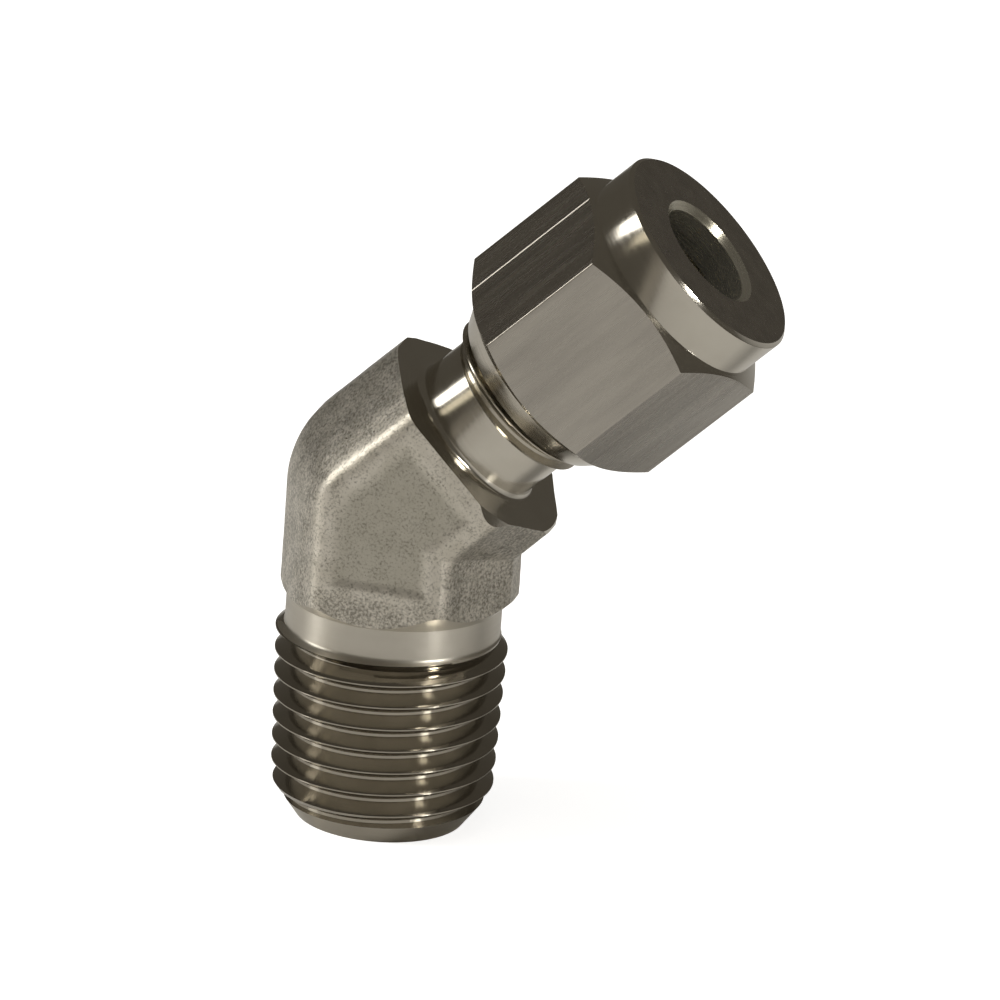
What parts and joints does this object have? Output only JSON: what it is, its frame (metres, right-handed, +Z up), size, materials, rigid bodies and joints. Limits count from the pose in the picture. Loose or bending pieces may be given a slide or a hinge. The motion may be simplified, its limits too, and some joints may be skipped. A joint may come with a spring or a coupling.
{
  "type": "male forty-five degree elbow tube fitting",
  "caption": "Stainless 45 degree elbow with a male taper pipe thread and a ferrule compression nut for tube.",
  "frame": {"origin": "centre of the pipe thread's end face, on the pipe axis", "axes": "+Z up the pipe axis into the body, the tube arm leans 45 degrees from +Z towards +X, the flat with the recessed panel faces -Y"},
  "size_m": [0.0294, 0.0142, 0.0432],
  "materials": {
    "forged_body": "forged skin, pickled, with machined ends",
    "front_ferrule": "fine turned",
    "back_ferrule": "fine turned",
    "nut": "cold drawn flats, turned collar"
  },
  "bodies": {
    "elbow": {"elbow_body": "forged_body"},
    "ferrules": {"front_ferrule": "front_ferrule", "back_ferrule": "back_ferrule"},
    "nut": {"nut": "nut"}
  },
  "joints": [
    {"name": "nut_advance", "type": "slide", "parent": "elbow", "child": "ferrules", "axis": [0.7071, 0, 0.7071], "range_m": [0, 0.00636]},
    {"name": "nut_turn", "type": "hinge", "parent": "ferrules", "child": "nut", "pos_m": [0, 0, 0.02086], "axis": [0.7071, 0, 0.7071], "range_deg": [0, 1800]}
  ],
  "couplings": [
    {"joint": "nut_advance", "follows": "nut_turn", "m_per_rad": 0.00020213}
  ]
}
